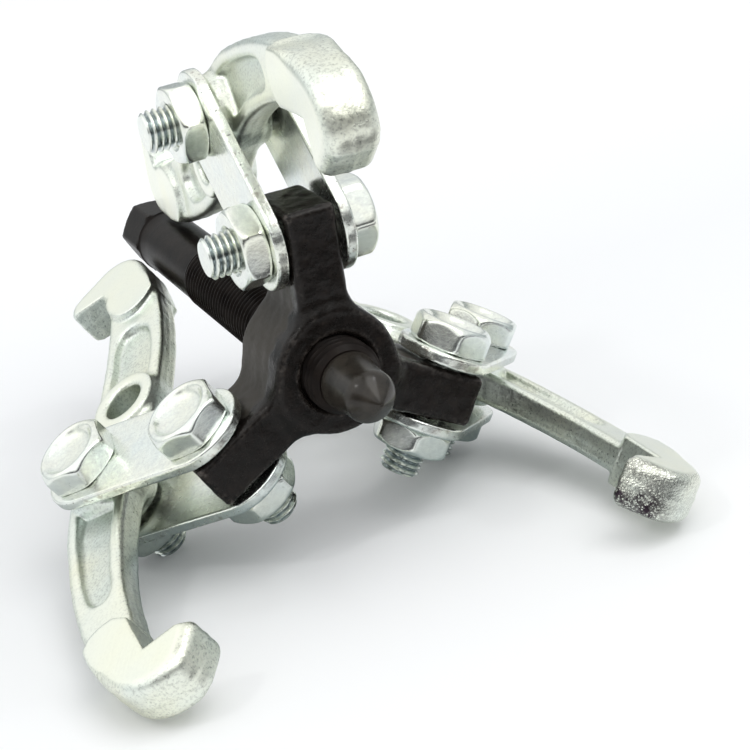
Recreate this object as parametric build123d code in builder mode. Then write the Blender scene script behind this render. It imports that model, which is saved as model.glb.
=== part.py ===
"""Three-jaw reversible gear puller, lying on its side on a flat surface.

A cast yoke with three arms at 120 degrees carries a long hex-headed forcing
screw.  Two flat straps, a through bolt and a nut at each end hang one jaw from
each yoke arm.  Every jaw has a large hook at its front end, facing the screw,
and a small hook at its rear end, facing outwards, and a spare hole so that it
can be turned round or moved.

Frame: +Z up, floor at Z = 0, the screw axis level and along Y with its point
towards -Y, the top jaw straight above the screw.  Millimetres.
"""
from build123d import *
import math
import os

# ---------------------------------------------------------------- dimensions
AXIS_H = 38.573         # height of the screw axis above the floor at the pivots
TILT = 2.25             # the point's end of the screw axis is down by this, degrees
AXIS_X = 1.061           # screw axis, sideways from the origin
PIVOT_Y = -26.135        # plane of the three yoke pivots

# yoke
HUB_R = 12.0            # hub radius
HUB_FRONT = 9.6         # hub front face, from the pivot plane towards the point
HUB_REAR = 9.4          # hub rear face, from the pivot plane towards the head
BORE_R = 7.05           # running clearance on the M14 screw
PIVOT_R = 24.9          # screw axis to yoke pivot
ARM_END = 31.0          # screw axis to the flat end of a yoke arm
ARM_W = 9.8             # arm width between the straps
ARM_FRONT = 8.2         # arm depth ahead of the pivot
ARM_REAR = 7.8          # arm depth behind the pivot
PIVOT_HOLE_R = 4.3      # M8 clearance hole in the yoke arm
ROOT_R = 3.0            # fillet between arm and hub

# forcing screw, M14 x 1.5
SCREW_R = 7.0
SCREW_PITCH = 1.5
SCREW_FRONT = 13.6      # end of the thread ahead of the pivot plane
SCREW_CHAMFER = 1.3
HEAD_NEAR = 86.6        # under face of the hex head behind the pivot plane
HEAD_FAR = 98.6         # outer end of the hex head
HEAD_AF = 13.0
HEAD_R = 7.4            # corners turned down to this radius
NECK_R = 6.75           # plain rolled shank under the head
NECK_START = 56.0       # its start behind the pivot plane
SPIGOT_R = 3.0          # spigot inside the pressure point
SPIGOT_L = 6.0

# pressure point
POINT_BASE = SCREW_FRONT + 0.1
POINT_R0 = 5.7          # radius at the screw end
POINT_R1 = 4.9          # radius at the front
POINT_SHOULDER = 23.6
POINT_TIP = 27.6

# links
STRAP_T = 2.3
STRAP_GAP = 11.2        # between the inner faces of a pair of straps
STRAP_R = 9.1           # rounded ends, half the strap's width
PITCH = 28.7            # yoke pivot to jaw pivot
STRAP_HOLE_R = 4.15

# M8 bolts and nuts, 14 mm across flats
BOLT_R = 4.0
HEX_AF = 14.0
BOLT_HEAD = 5.2
DISH_R = 5.6
DISH_D = 1.4
BOLT_LEN = 25.9         # under the head to the end
NUT_T = 5.0
NUT_HOLE_R = 4.03

# jaws
JAW_HOLE_R = 4.35
JAW_HOLE_PITCH = 20.0
BOSS_R = 7.4
BOSS_T = 9.8
ARM_T = 6.0
SPARE_T = 9.2           # boss of the spare hole
PAD_BIG = 9.8           # thickness of the large hook
PAD_SMALL = 9.2         # thickness of the small hook
WEB_FRONT = 3.0
WEB_REAR = 1.8

# arms: azimuth about the screw (0 = straight up, positive towards -X),
# +1 where the nuts are on the anticlockwise side seen from the point,
# strap angle back from the radial direction, jaw angle forward from it.
# The next four are the play of the loose M8 joints taken up by each link and
# jaw: lean about the strap's length, swing across it (degrees).  hexes are the
# turns of the yoke bolt, yoke nut, jaw bolt and jaw nut about their own axes.
ARMS = {
    "top": dict(az=-0.5, nut=1, link=-49.4, jaw=50.2, lean=-1.0, swing=-0.8, jlean=-1.4, jswing=2.6,
                hexes=(20, 49, 8, 12)),
    "left": dict(az=119.5, nut=1, link=-46.6, jaw=49.2, lean=-1.6, swing=-0.8, jlean=0.8, jswing=0.0,
                 hexes=(7, 48, 4, 33)),
    "right": dict(az=-120.5, nut=-1, link=-48.2, jaw=50.6, lean=1.8, swing=-0.2, jlean=-1.6, jswing=1.1,
                  hexes=(25, 20, 8, 33)),
}

TAU = math.radians(TILT)
AXIAL = Vector(0, -math.cos(TAU), -math.sin(TAU))     # along the screw, towards its point
UP = Vector(0, -math.sin(TAU), math.cos(TAU))         # square to it, in the upright plane
CENTRE = Vector(AXIS_X, PIVOT_Y, AXIS_H)


def turn(v, k, deg):
    """v turned about the unit vector k."""
    a = math.radians(deg)
    return v * math.cos(a) + k.cross(v) * math.sin(a) + k * (k.dot(v) * (1 - math.cos(a)))


def radial(az):
    a = math.radians(az)
    return UP * math.cos(a) + Vector(-math.sin(a), 0, 0)


def off_axis(p):
    return (p - CENTRE).cross(AXIAL).length


def yoke_plane(arm):
    """x outwards, y towards the screw's point, z along the yoke bolt."""
    er = radial(arm["az"])
    return Plane(origin=CENTRE, x_dir=er, z_dir=er.cross(AXIAL))


def link_plane(arm):
    """Origin on the yoke pivot, x towards the jaw pivot, z towards the bolt heads."""
    er = radial(arm["az"])
    a = math.radians(arm["link"])
    u = er * math.cos(a) + AXIAL * math.sin(a)
    n = er.cross(AXIAL) * -arm["nut"]
    v = n.cross(u)
    k = u * math.radians(arm["lean"]) + v * math.radians(arm["swing"])
    ang = math.degrees(k.length)
    k = k.normalized()
    return Plane(origin=CENTRE + er * PIVOT_R, x_dir=turn(u, k, ang), z_dir=turn(n, k, ang) * -1)


def jaw_plane(arm):
    """Origin on the jaw pivot, x towards the large hook, y away from the screw."""
    link = link_plane(arm)
    u, n = link.x_dir, link.z_dir * -1
    v = n.cross(u)
    # v points ahead of the strap for one hand of bolt and behind it for the other
    ahead = v if v.dot(AXIAL) > 0 else v * -1
    d = math.radians(arm["jaw"] - arm["link"])
    s = u * math.cos(d) + ahead * math.sin(d)
    w = (ahead * math.cos(d) - u * math.sin(d)) * -1
    k = u * math.radians(arm["jlean"]) + v * math.radians(arm["jswing"])
    ang = math.degrees(k.length)
    k = k.normalized()
    s, w = turn(s, k, ang), turn(w, k, ang)
    return Plane(origin=link.origin + u * PITCH, x_dir=s, z_dir=s.cross(w))


# ---------------------------------------------------------------------- yoke
axis_plane = Plane(origin=CENTRE, x_dir=(1, 0, 0), z_dir=AXIAL)     # z towards the point

with BuildPart() as yoke:
    with BuildSketch(axis_plane.offset(-HUB_REAR)):
        Circle(HUB_R)
    extrude(amount=HUB_REAR + HUB_FRONT)
    for arm in ARMS.values():
        side = yoke_plane(arm)
        with BuildSketch(side.offset(-ARM_W / 2)):
            with BuildLine():
                Polyline((4, -ARM_REAR), (ARM_END - 1.4, -ARM_REAR), (ARM_END, -ARM_REAR + 1.4),
                         (ARM_END, ARM_FRONT - 1.4), (ARM_END - 1.4, ARM_FRONT), (4, ARM_FRONT), close=True)
            make_face()
        extrude(amount=ARM_W)
    # rounded corners where the arms grow out of the hub
    with BuildSketch(axis_plane.offset(-ARM_REAR + 1)) as star:
        Circle(HUB_R)
        for arm in ARMS.values():
            with Locations(Location((0, 0), 90 + arm["az"])):
                Rectangle(HUB_R + 7, ARM_W, align=(Align.MIN, Align.CENTER))
        roots = star.vertices().filter_by(lambda v: abs(math.hypot(v.X, v.Y) - HUB_R) < 0.05)
        fillet(roots, ROOT_R)
    extrude(amount=ARM_REAR + ARM_FRONT - 2)
    # bore for the screw
    with BuildSketch(axis_plane.offset(-HUB_REAR - 1)):
        Circle(BORE_R)
    extrude(amount=HUB_REAR + HUB_FRONT + 2, mode=Mode.SUBTRACT)
    # cross holes for the three yoke bolts
    for arm in ARMS.values():
        with BuildSketch(yoke_plane(arm).offset(-ARM_W)):
            with Locations((PIVOT_R, 0)):
                Circle(PIVOT_HOLE_R)
        extrude(amount=2 * ARM_W, mode=Mode.SUBTRACT)
yoke.part.label = "yoke"

# ------------------------------------------------------------- forcing screw
with BuildPart() as forcing_screw:
    with BuildSketch(axis_plane.offset(-HEAD_FAR)):
        RegularPolygon(HEAD_AF / 2, 6, major_radius=False, rotation=-3)
    extrude(amount=HEAD_FAR - HEAD_NEAR)
    with BuildSketch(axis_plane.offset(-HEAD_FAR)):
        Circle(HEAD_R)
    extrude(amount=HEAD_FAR - HEAD_NEAR, mode=Mode.INTERSECT)
    with BuildSketch(axis_plane.offset(-HEAD_NEAR)):
        Circle(SCREW_R)
    extrude(amount=HEAD_NEAR + SCREW_FRONT)
    chamfer(forcing_screw.edges().filter_by(GeomType.CIRCLE).group_by(Axis(CENTRE, AXIAL))[-1], SCREW_CHAMFER)
    with BuildSketch(axis_plane.offset(-HEAD_NEAR)):
        Circle(SCREW_R + 1)
        Circle(NECK_R, mode=Mode.SUBTRACT)
    extrude(amount=HEAD_NEAR - NECK_START, mode=Mode.SUBTRACT)
    with BuildSketch(axis_plane.offset(SCREW_FRONT)):
        Circle(SPIGOT_R)
    extrude(amount=SPIGOT_L)
forcing_screw.part.label = "forcing_screw"

# ------------------------------------------------------------ pressure point
point_section = Plane(origin=CENTRE, x_dir=(1, 0, 0), z_dir=Vector(1, 0, 0).cross(AXIAL))
with BuildPart() as screw_point:
    with BuildSketch(point_section):
        with BuildLine():
            Polyline((0, POINT_BASE), (POINT_R0, POINT_BASE), (POINT_R1, POINT_SHOULDER - 0.6),
                     (POINT_R1 - 0.5, POINT_SHOULDER), (0.6, POINT_TIP - 0.15), (0, POINT_TIP), close=True)
        make_face()
    revolve(axis=Axis(CENTRE, AXIAL))
    with BuildSketch(axis_plane.offset(POINT_BASE - 1)):
        Circle(SPIGOT_R + 0.05)
    extrude(amount=SPIGOT_L + 1.2, mode=Mode.SUBTRACT)
screw_point.part.label = "screw_point"


# --------------------------------------------------------------------- links
def make_strap(arm, head_side, label):
    """One obround strap of a pair, on the head side or on the nut side."""
    plane = link_plane(arm)
    z = STRAP_GAP / 2 if head_side else -STRAP_GAP / 2 - STRAP_T
    with BuildPart() as strap:
        with BuildSketch(plane.offset(z)):
            with Locations((PITCH / 2, 0)):
                SlotCenterToCenter(PITCH, 2 * STRAP_R)
            with Locations((0, 0), (PITCH, 0)):
                Circle(STRAP_HOLE_R, mode=Mode.SUBTRACT)
        extrude(amount=STRAP_T)
        rims = strap.edges().group_by(SortBy.LENGTH)[-1]
        chamfer(rims, 0.25)
    strap.part.label = label
    return strap


def make_bolt(plane, label, hex_turn):
    """M8 bolt with a dished hex head, along -z of the link's plane."""
    top = STRAP_GAP / 2 + STRAP_T
    with BuildPart() as bolt:
        with BuildSketch(plane.offset(top)):
            RegularPolygon(HEX_AF / 2, 6, major_radius=False, rotation=hex_turn)
        extrude(amount=BOLT_HEAD)
        with BuildSketch(plane.offset(top)):
            Circle(HEX_AF / 2 + 0.45)
        extrude(amount=BOLT_HEAD, mode=Mode.INTERSECT)
        with BuildSketch(plane.offset(top + BOLT_HEAD)):
            Circle(DISH_R)
        extrude(amount=-DISH_D, taper=25, mode=Mode.SUBTRACT)
        with BuildSketch(plane.offset(top - BOLT_LEN)):
            Circle(BOLT_R)
        extrude(amount=BOLT_LEN)
        end = bolt.edges().filter_by(GeomType.CIRCLE).sort_by(Axis(plane.origin, plane.z_dir))[0]
        chamfer(end, 0.7)
    bolt.part.label = label
    return bolt


def make_nut(plane, label, hex_turn):
    """M8 nut against the nut-side strap."""
    with BuildPart() as nut:
        with BuildSketch(plane.offset(-STRAP_GAP / 2 - STRAP_T - NUT_T)):
            RegularPolygon(HEX_AF / 2, 6, major_radius=False, rotation=hex_turn)
        extrude(amount=NUT_T)
        with BuildSketch(plane.offset(-STRAP_GAP / 2 - STRAP_T - NUT_T)):
            Circle(HEX_AF / 2 + 0.6)
        extrude(amount=NUT_T, mode=Mode.INTERSECT)
        with BuildSketch(plane.offset(-STRAP_GAP / 2 - STRAP_T - NUT_T)):
            Circle(NUT_HOLE_R)
        extrude(amount=NUT_T, mode=Mode.SUBTRACT)
    nut.part.label = label
    return nut


# ---------------------------------------------------------------------- jaws
# outline points in the jaw's plane: x from the jaw pivot towards the large
# hook, y away from the screw
OUTER_EDGE = [(46.1, -12.1), (40.4, -7.9), (34.6, -4.3), (28.6, -1.1), (20.4, 2.6), (13.4, 5.4), (6.0, 7.3),
              (-2.0, 8.0), (-12.0, 8.2), (-20.0, 8.9), (-28.0, 10.3), (-36.0, 11.8), (-45.0, 13.8), (-53.0, 16.0),
              (-60.9, 19.0)]
INNER_EDGE = [(-64.9, 7.8), (-56.6, 3.4), (-49.3, 0.2), (-42.0, -2.3), (-36.8, -3.8), (-30.2, -5.2), (-24.1, -6.4),
              (-18.0, -7.2), (-10.0, -7.6), (0.0, -7.6), (6.0, -7.8), (12.3, -8.8), (19.0, -10.6), (25.8, -12.9),
              (31.2, -15.2), (36.1, -17.8), (41.4, -20.9)]
BIG_OUT = [(46.1, -12.1), (49.6, -14.6), (53.3, -17.8), (56.2, -21.2), (58.3, -25.0), (58.9, -28.6), (58.3, -32.4),
           (56.4, -35.5), (53.4, -37.0)]
BIG_STEP = [(41.4, -20.9), (40.6, -17.6), (41.5, -15.0), (43.3, -12.9), (46.1, -12.1)]
SMALL_OUT = [(-58.6, 27.6), (-60.4, 28.9), (-62.8, 28.8), (-65.2, 27.0), (-67.8, 24.5), (-70.4, 21.8), (-71.9, 18.6),
             (-71.8, 15.0), (-69.6, 11.4), (-64.9, 7.8)]
SMALL_STEP = [(-56.4, 17.2), (-52.6, 14.2), (-50.2, 10.6), (-50.6, 7.2), (-53.0, 4.6), (-56.6, 3.4)]
POCKET_FRONT = [(7.6, 3.6), (13.5, 2.2), (20.0, -0.4), (26.5, -3.4), (31.6, -6.4), (33.6, -9.0), (32.8, -11.4),
                (30.0, -11.6), (24.5, -9.4), (18.0, -7.2), (12.0, -5.9), (7.6, -5.0)]
POCKET_REAR = [(-28.6, 7.6), (-34.0, 8.5), (-40.5, 9.9), (-44.8, 9.6), (-46.2, 6.8), (-44.4, 2.8), (-39.0, 0.3),
               (-33.0, -1.4), (-28.6, -2.2)]


def make_jaw(arm, label):
    plane = jaw_plane(arm)
    with BuildPart() as jaw:
        # thin arm between the hooks
        with BuildSketch(plane.offset(-ARM_T / 2)):
            with BuildLine():
                Spline(*OUTER_EDGE)
                Line(OUTER_EDGE[-1], INNER_EDGE[0])
                Spline(*INNER_EDGE)
                Line(INNER_EDGE[-1], OUTER_EDGE[0])
            make_face()
        extrude(amount=ARM_T)
        # recesses that leave a thin web between the arm's two ribs
        for pocket, web in ((POCKET_FRONT, WEB_FRONT), (POCKET_REAR, WEB_REAR)):
            for z, depth in ((ARM_T / 2, -(ARM_T - web) / 2), (-ARM_T / 2, (ARM_T - web) / 2)):
                with BuildSketch(plane.offset(z)):
                    with BuildLine():
                        Spline(*pocket)
                        Line(pocket[-1], pocket[0])
                    make_face()
                extrude(amount=depth, mode=Mode.SUBTRACT)
        # large hook
        with BuildSketch(plane.offset(-PAD_BIG / 2)):
            with BuildLine():
                Polyline((41.4, -20.9), (45.2, -23.7), (50.2, -27.6), (45.9, -37.0), (53.4, -37.0))
                Spline(*reversed(BIG_OUT))
                Spline(*reversed(BIG_STEP))
            make_face()
        extrude(amount=PAD_BIG)
        # small hook
        with BuildSketch(plane.offset(-PAD_SMALL / 2)):
            with BuildLine():
                Polyline((-56.4, 17.2), (-60.9, 19.0), (-58.6, 27.6))
                Spline(*SMALL_OUT)
                Line((-64.9, 7.8), (-56.6, 3.4))
                Spline(*reversed(SMALL_STEP))
            make_face()
        extrude(amount=PAD_SMALL)
        # bosses and holes: the pivot and the spare hole
        for x, t in ((0, BOSS_T), (-JAW_HOLE_PITCH, SPARE_T)):
            with BuildSketch(plane.offset(-t / 2)):
                with Locations((x, 0)):
                    Circle(BOSS_R)
            extrude(amount=t)
        with BuildSketch(plane.offset(-BOSS_T / 2)):
            with Locations((0, 0), (-JAW_HOLE_PITCH, 0)):
                Circle(JAW_HOLE_R)
        extrude(amount=BOSS_T, mode=Mode.SUBTRACT)
    jaw.part.label = label
    return jaw


# ------------------------------------------------------------------ assembly
pieces = [yoke, forcing_screw, screw_point]
for name, arm in ARMS.items():
    link = link_plane(arm)
    far = Plane(origin=link.origin + link.x_dir * PITCH, x_dir=link.x_dir, z_dir=link.z_dir)
    pieces.append(make_jaw(arm, name + "_jaw"))
    pieces.append(make_strap(arm, True, name + "_strap_head_side"))
    pieces.append(make_strap(arm, False, name + "_strap_nut_side"))
    pieces.append(make_bolt(link, name + "_yoke_bolt", arm["hexes"][0]))
    pieces.append(make_nut(link, name + "_yoke_nut", arm["hexes"][1]))
    pieces.append(make_bolt(far, name + "_jaw_bolt", arm["hexes"][2]))
    pieces.append(make_nut(far, name + "_jaw_nut", arm["hexes"][3]))

os.makedirs("parts", exist_ok=True)
for piece in pieces:
    export_step(piece.part, "parts/" + piece.part.label + ".step")
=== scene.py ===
import math

import bpy
import numpy as np
from mathutils import Matrix, Vector, noise


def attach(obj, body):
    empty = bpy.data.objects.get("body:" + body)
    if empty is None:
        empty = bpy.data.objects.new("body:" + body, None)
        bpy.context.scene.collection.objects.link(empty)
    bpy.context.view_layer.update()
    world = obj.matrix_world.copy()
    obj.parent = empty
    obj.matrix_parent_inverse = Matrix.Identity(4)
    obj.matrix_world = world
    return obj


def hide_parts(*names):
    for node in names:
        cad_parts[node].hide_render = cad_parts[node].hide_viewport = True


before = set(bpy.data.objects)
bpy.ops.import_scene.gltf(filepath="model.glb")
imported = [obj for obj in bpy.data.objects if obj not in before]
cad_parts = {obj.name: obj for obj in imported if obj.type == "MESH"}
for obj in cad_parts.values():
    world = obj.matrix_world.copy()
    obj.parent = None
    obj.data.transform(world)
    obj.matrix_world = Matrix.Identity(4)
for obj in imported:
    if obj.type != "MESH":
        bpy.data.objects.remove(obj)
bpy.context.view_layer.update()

MM = 0.001

# --------------------------------------------------------------- the part's own numbers (mm, degrees)
AXIS_H, TILT, AXIS_X, PIVOT_Y = 38.573, 2.25, 1.061, -26.135
HUB_R, HUB_FRONT, HUB_REAR, BORE_R, PIVOT_R = 12.0, 9.6, 9.4, 7.05, 24.9
ARM_END, ARM_W, ARM_FRONT, ARM_REAR, PIVOT_HOLE_R = 31.0, 9.8, 8.2, 7.8, 4.3
SCREW_R, SCREW_PITCH, SCREW_FRONT = 7.0, 1.5, 13.6
HEAD_NEAR, HEAD_FAR, HEAD_AF, HEAD_R = 86.6, 98.6, 13.0, 7.4
NECK_R, NECK_START, SPIGOT_R, SPIGOT_L = 6.75, 56.0, 3.0, 6.0
POINT_BASE, POINT_R0, POINT_R1, POINT_SHOULDER, POINT_TIP = 13.7, 5.7, 4.9, 23.6, 27.6
STRAP_T, STRAP_GAP, STRAP_R, PITCH, STRAP_HOLE_R = 2.3, 11.2, 9.1, 28.7, 4.15
BOLT_R, HEX_AF, BOLT_HEAD, BOLT_LEN, NUT_T, NUT_HOLE_R = 4.0, 14.0, 5.2, 25.9, 5.0, 4.03
JAW_HOLE_R, JAW_HOLE_PITCH, BOSS_R, BOSS_T, SPARE_T = 4.35, 20.0, 7.4, 9.8, 9.2
ARM_T, PAD_BIG, PAD_SMALL, WEB_FRONT, WEB_REAR = 6.0, 9.8, 9.2, 3.0, 1.8
HEX = {"top": (20, 49, 8, 12), "left": (7, 48, 4, 33), "right": (25, 20, 8, 33)}
ARMS = {
    "top": dict(az=-0.5, nut=1, link=-49.4, jaw=50.2, lean=-1.0, swing=-0.8, jlean=-1.4, jswing=2.6),
    "left": dict(az=119.5, nut=1, link=-46.6, jaw=49.2, lean=-1.6, swing=-0.8, jlean=0.8, jswing=0.0),
    "right": dict(az=-120.5, nut=-1, link=-48.2, jaw=50.6, lean=1.8, swing=-0.2, jlean=-1.6, jswing=1.1),
}
OUTER_EDGE = [(46.1, -12.1), (40.4, -7.9), (34.6, -4.3), (28.6, -1.1), (20.4, 2.6), (13.4, 5.4), (6.0, 7.3),
              (-2.0, 8.0), (-12.0, 8.2), (-20.0, 8.9), (-28.0, 10.3), (-36.0, 11.8), (-45.0, 13.8), (-53.0, 16.0),
              (-60.9, 19.0)]
INNER_EDGE = [(-64.9, 7.8), (-56.6, 3.4), (-49.3, 0.2), (-42.0, -2.3), (-36.8, -3.8), (-30.2, -5.2), (-24.1, -6.4),
              (-18.0, -7.2), (-10.0, -7.6), (0.0, -7.6), (6.0, -7.8), (12.3, -8.8), (19.0, -10.6), (25.8, -12.9),
              (31.2, -15.2), (36.1, -17.8), (41.4, -20.9)]
BIG_OUT = [(46.1, -12.1), (49.6, -14.6), (53.3, -17.8), (56.2, -21.2), (58.3, -25.0), (58.9, -28.6), (58.3, -32.4),
           (56.4, -35.5), (53.4, -37.0)]
BIG_STEP = [(41.4, -20.9), (40.6, -17.6), (41.5, -15.0), (43.3, -12.9), (46.1, -12.1)]
SMALL_OUT = [(-58.6, 27.6), (-60.4, 28.9), (-62.8, 28.8), (-65.2, 27.0), (-67.8, 24.5), (-70.4, 21.8), (-71.9, 18.6),
             (-71.8, 15.0), (-69.6, 11.4), (-64.9, 7.8)]
SMALL_STEP = [(-56.4, 17.2), (-52.6, 14.2), (-50.2, 10.6), (-50.6, 7.2), (-53.0, 4.6), (-56.6, 3.4)]
POCKET_FRONT = [(7.6, 3.6), (13.5, 2.2), (20.0, -0.4), (26.5, -3.4), (31.6, -6.4), (33.6, -9.0), (32.8, -11.4),
                (30.0, -11.6), (24.5, -9.4), (18.0, -7.2), (12.0, -5.9), (7.6, -5.0)]
POCKET_REAR = [(-28.6, 7.6), (-34.0, 8.5), (-40.5, 9.9), (-44.8, 9.6), (-46.2, 6.8), (-44.4, 2.8), (-39.0, 0.3),
               (-33.0, -1.4), (-28.6, -2.2)]

TAU = math.radians(TILT)
AXIAL = np.array([0, -math.cos(TAU), -math.sin(TAU)])
UP = np.array([0, -math.sin(TAU), math.cos(TAU)])
CENTRE = np.array([AXIS_X, PIVOT_Y, AXIS_H])


def turn(v, k, deg):
    a = math.radians(deg)
    return v * math.cos(a) + np.cross(k, v) * math.sin(a) + k * (k @ v) * (1 - math.cos(a))


def radial(az):
    a = math.radians(az)
    return UP * math.cos(a) + np.array([-math.sin(a), 0, 0])


def link_axes(arm):
    er = radial(arm["az"])
    a = math.radians(arm["link"])
    u = er * math.cos(a) + AXIAL * math.sin(a)
    n = np.cross(er, AXIAL) * -arm["nut"]
    v = np.cross(n, u)
    k = u * math.radians(arm["lean"]) + v * math.radians(arm["swing"])
    ang = math.degrees(np.linalg.norm(k))
    k = k / np.linalg.norm(k)
    return CENTRE + er * PIVOT_R, turn(u, k, ang), -turn(n, k, ang)


def jaw_axes(arm):
    o, u, z = link_axes(arm)
    n = -z
    v = np.cross(n, u)
    ahead = v if v @ AXIAL > 0 else -v
    d = math.radians(arm["jaw"] - arm["link"])
    s = u * math.cos(d) + ahead * math.sin(d)
    w = -(ahead * math.cos(d) - u * math.sin(d))
    k = u * math.radians(arm["jlean"]) + v * math.radians(arm["jswing"])
    ang = math.degrees(np.linalg.norm(k))
    k = k / np.linalg.norm(k)
    s, w = turn(s, k, ang), turn(w, k, ang)
    return o + u * PITCH, s, np.cross(s, w)


def matrix(origin, x, z):
    """World matrix in metres of a local frame given in mm."""
    y = np.cross(z, x)
    m = np.eye(4)
    m[:3, 0], m[:3, 1], m[:3, 2], m[:3, 3] = x, y, z, np.asarray(origin) * MM
    return Matrix(m.tolist())


# --------------------------------------------------------------- mesh tools
def make_object(name, verts, faces, world, body, node, smooth=True, attrs=None):
    """verts in mm in the local frame. The mesh itself is in the row frame, and loc keeps the local place."""
    local = np.asarray(verts, float) * MM
    wm = np.array(world)
    placed = local @ wm[:3, :3].T + wm[:3, 3]
    me = bpy.data.meshes.new(name)
    me.from_pydata(placed.tolist(), [], [list(map(int, f)) for f in faces])
    me.validate()
    me.polygons.foreach_set("use_smooth", np.full(len(me.polygons), smooth))
    at = me.attributes.new("loc", "FLOAT_VECTOR", "POINT")
    at.data.foreach_set("vector", local.astype(np.float32).ravel())
    for key, val in (attrs or {}).items():
        at = me.attributes.new(key, "FLOAT", "POINT")
        at.data.foreach_set("value", np.asarray(val, np.float32))
    me.update()
    ob = bpy.data.objects.new(name, me)
    bpy.context.scene.collection.objects.link(ob)
    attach(ob, body)
    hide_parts(node)
    return ob


def normals_of(v, f):
    f = np.asarray(f)
    a, b, c, d = (v[f[:, i]] for i in range(4))
    fn = np.cross(c - a, d - b)
    n = np.zeros_like(v)
    for i in range(4):
        np.add.at(n, f[:, i], fn)
    ln = np.linalg.norm(n, axis=1)
    ln[ln == 0] = 1
    return n / ln[:, None]


def surface_nets(F, lo, h):
    """Quads of the zero level of F, sampled at lo + h * (i, j, k)."""
    s = F < 0
    nx, ny, nz = F.shape
    c = sum(s[i:nx - 1 + i, j:ny - 1 + j, k:nz - 1 + k].astype(np.int8) for i in (0, 1) for j in (0, 1) for k in (0, 1))
    act = (c > 0) & (c < 8)
    I, J, K = np.nonzero(act)
    idx = -np.ones(act.shape, np.int64)
    idx[I, J, K] = np.arange(len(I))
    acc = np.zeros((len(I), 3))
    cnt = np.zeros(len(I))
    for ax in range(3):
        for p in (0, 1):
            for q in (0, 1):
                o = [0, 0, 0]
                oth = [a for a in range(3) if a != ax]
                o[oth[0]], o[oth[1]] = p, q
                a = F[I + o[0], J + o[1], K + o[2]]
                o2 = list(o)
                o2[ax] = 1
                b = F[I + o2[0], J + o2[1], K + o2[2]]
                x = (a < 0) != (b < 0)
                t = np.where(x, a / np.where(x, a - b, 1), 0)
                acc[:, ax] += np.where(x, t, 0)
                acc[:, oth[0]] += p * x
                acc[:, oth[1]] += q * x
                cnt += x
    v = (np.stack([I, J, K], 1) + acc / cnt[:, None]) * h + lo
    quads = []
    rolls = {0: ((0, 1), (0, 2)), 1: ((1, 2), (1, 0)), 2: ((2, 0), (2, 1))}
    for ax in range(3):
        a1, a2 = ((1, 2), (2, 0), (0, 1))[ax]
        sl0 = [slice(1, -1)] * 3
        sl1 = [slice(1, -1)] * 3
        sl0[ax], sl1[ax] = slice(0, -1), slice(1, None)
        s0, s1 = s[tuple(sl0)], s[tuple(sl1)]
        P = np.array(np.nonzero(s0 != s1))
        inside = s0[tuple(P)]
        off = np.ones((3, 1), int)
        off[ax] = 0
        P = P + off

        def cell(d1, d2):
            q = P.copy()
            q[a1] += d1
            q[a2] += d2
            return idx[q[0], q[1], q[2]]

        q = np.stack([cell(-1, -1), cell(0, -1), cell(0, 0), cell(-1, 0)], 1)
        q[~inside] = q[~inside][:, ::-1]
        quads.append(q)
    return v, np.concatenate(quads)


def catmull(pts, per=6):
    """Points of a smooth curve through pts."""
    p = np.array(pts, float)
    p = np.vstack([2 * p[0] - p[1], p, 2 * p[-1] - p[-2]])
    out = []
    for i in range(1, len(p) - 2):
        for t in np.linspace(0, 1, per, endpoint=False):
            out.append(0.5 * (2 * p[i] + (p[i + 1] - p[i - 1]) * t + (2 * p[i - 1] - 5 * p[i] + 4 * p[i + 1] - p[i + 2]) * t * t
                              + (3 * p[i] - p[i - 1] - 3 * p[i + 1] + p[i + 2]) * t ** 3))
    out.append(p[-2])
    return [tuple(x) for x in out]


def sd_poly(X, Y, pts):
    """Signed distance to a polygon, negative inside."""
    d = np.full(X.shape, 1e9)
    inside = np.zeros(X.shape, bool)
    n = len(pts)
    for i in range(n):
        ax, ay = pts[i]
        bx, by = pts[(i + 1) % n]
        ex, ey = bx - ax, by - ay
        L = ex * ex + ey * ey
        if L < 1e-9:
            continue
        t = np.clip(((X - ax) * ex + (Y - ay) * ey) / L, 0, 1)
        d = np.minimum(d, (X - ax - t * ex) ** 2 + (Y - ay - t * ey) ** 2)
        if ay != by:
            cr = ((ay > Y) != (by > Y)) & (X < (bx - ax) * (Y - ay) / (by - ay) + ax)
            inside ^= cr
    d = np.sqrt(d)
    return np.where(inside, -d, d)


def slab(d2, Z, h, r):
    """A plate of outline d2 and half thickness h with its edges rounded to r."""
    a = d2[..., None] + r
    b = np.abs(Z) - h + r
    return np.minimum(np.maximum(a, b), 0) + np.sqrt(np.maximum(a, 0) ** 2 + np.maximum(b, 0) ** 2) - r


def smin(a, b, k):
    h = np.clip(0.5 + 0.5 * (b - a) / k, 0, 1)
    return b * (1 - h) + a * h - k * h * (1 - h)


def smax(a, b, k):
    return -smin(-a, -b, k)


def grid(lo, hi, h):
    ax = [np.arange(lo[i], hi[i] + h, h) for i in range(3)]
    return ax, np.array(lo, float)


def roughen(v, f, amp, size, seed, mask=None, octaves=2):
    """Moves points along their normals by smooth noise, which gives a cast or forged skin."""
    n = normals_of(v, f)
    off = Vector((seed * 17.3, seed * 5.1, seed * 9.7))
    d = np.empty(len(v))
    for i, p in enumerate(v):
        q = Vector(p) / size + off
        a = noise.noise(q)
        if octaves > 1:
            a += 0.5 * noise.noise(q * 2.1)
        d[i] = a
    if mask is not None:
        d = d * mask
    return v + n * (amp * d)[:, None]


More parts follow.
